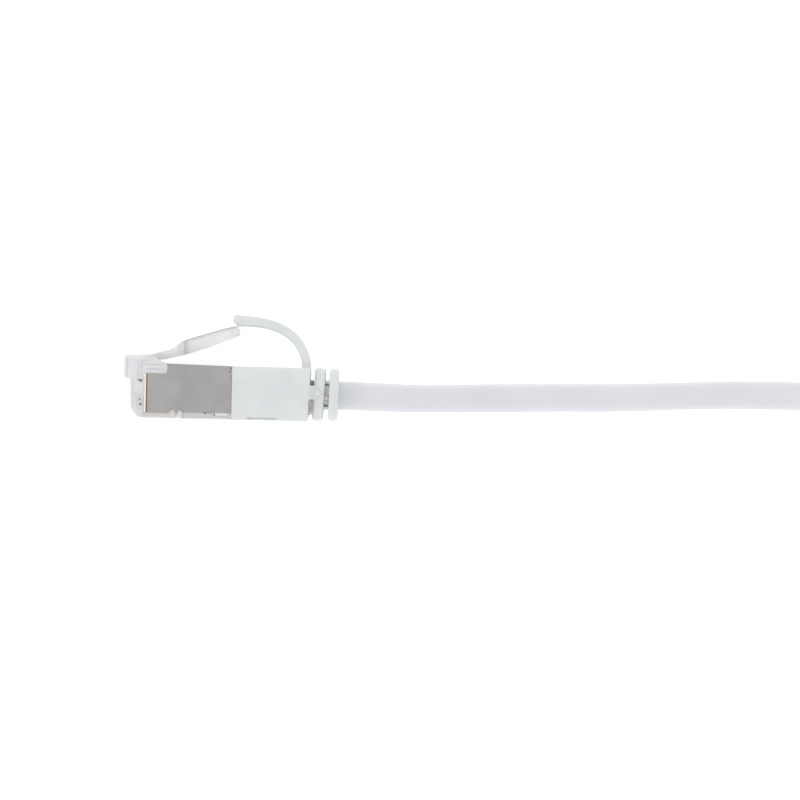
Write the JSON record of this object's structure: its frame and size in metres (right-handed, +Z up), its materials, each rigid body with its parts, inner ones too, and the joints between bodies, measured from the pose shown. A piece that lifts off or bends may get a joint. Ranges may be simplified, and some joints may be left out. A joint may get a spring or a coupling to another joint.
{
  "type": "ethernet patch cable",
  "caption": "Slim shielded patch cable: clear modular plugs with metal shields, white boots with arched snag guards, and a thin round white cord folded into a tied hank.",
  "frame": {"origin": "on the surface under the near plug, at the middle of the near plug's length and of its height with the snag guard; the plug lies on its side", "axes": "+X from the near plug's nose to its cable end, +Y towards its latch side, +Z up across the plug's width"},
  "size_m": [0.1877, 0.0345, 0.0117],
  "materials": {
    "clear_polycarbonate": "clear moulded polycarbonate",
    "insert_plastic": "moulded",
    "nickel_sheet": "matte nickel-plated sheet",
    "copper_braid": "braided fine wire",
    "screen_foil": "wrinkled foil",
    "boot_plastic": "soft satin moulding",
    "contact_gold": "gold plated",
    "cord_jacket": "soft satin jacket",
    "tie_strap": "woven hook-and-loop strap",
    "wire_mixed": "insulation in eight colours",
    "wire_white_orange": "extruded insulation",
    "wire_orange": "extruded insulation",
    "wire_white_green": "extruded insulation",
    "wire_blue": "extruded insulation",
    "wire_white_blue": "extruded insulation",
    "wire_green": "extruded insulation",
    "wire_white_brown": "extruded insulation",
    "wire_brown": "extruded insulation"
  },
  "bodies": {
    "cable": {"plug_housing": "clear_polycarbonate", "load_bar": "insert_plastic", "shield_shell": "nickel_sheet", "crimp_ferrule": "nickel_sheet", "braid_screen": "copper_braid", "foil_screen": "screen_foil", "boot": "boot_plastic", "contact_1": "contact_gold", "contact_2": "contact_gold", "contact_3": "contact_gold", "contact_4": "contact_gold", "contact_5": "contact_gold", "contact_6": "contact_gold", "contact_7": "contact_gold", "contact_8": "contact_gold", "wire_1": "wire_white_orange", "wire_2": "wire_orange", "wire_3": "wire_white_green", "wire_4": "wire_blue", "wire_5": "wire_white_blue", "wire_6": "wire_green", "wire_7": "wire_white_brown", "wire_8": "wire_brown", "cable_lead": "cord_jacket", "cable_tail": "cord_jacket", "hank": "cord_jacket", "hank_tie": "tie_strap", "far_plug_housing": "clear_polycarbonate", "far_contacts": "contact_gold", "far_load_bar": "insert_plastic", "far_shield_shell": "nickel_sheet", "far_crimp_ferrule": "nickel_sheet", "far_braid_screen": "copper_braid", "far_wires": "wire_mixed", "far_boot": "boot_plastic"},
    "latch": {"latch": "clear_polycarbonate"},
    "snag_guard": {"snag_guard": "boot_plastic"},
    "far_latch": {"far_latch": "clear_polycarbonate"},
    "far_snag_guard": {"far_snag_guard": "boot_plastic"}
  },
  "joints": [
    {"name": "guard_press", "type": "hinge", "parent": "cable", "child": "snag_guard", "pos_m": [0.0093, 0.0003, 0.00584], "axis": [0, 0, 1], "range_deg": [0, 12], "stiffness_Nm_per_rad": 0.01},
    {"name": "latch_press", "type": "hinge", "parent": "cable", "child": "latch", "pos_m": [-0.0107, 0.00109, 0.00584], "axis": [0, 0, -1], "range_deg": [0, 9.24], "stiffness_Nm_per_rad": 0.01},
    {"name": "far_guard_press", "type": "hinge", "parent": "cable", "child": "far_snag_guard", "pos_m": [0.1111, 0.0094, 0.00584], "axis": [0, 0, -1], "range_deg": [0, 12], "stiffness_Nm_per_rad": 0.01},
    {"name": "far_latch_press", "type": "hinge", "parent": "cable", "child": "far_latch", "pos_m": [0.0911, 0.00862, 0.00584], "axis": [0, 0, 1], "range_deg": [0, 9.24], "stiffness_Nm_per_rad": 0.01}
  ],
  "couplings": [
    {"joint": "latch_press", "follows": "guard_press", "ratio": 0.77},
    {"joint": "far_latch_press", "follows": "far_guard_press", "ratio": 0.77}
  ]
}
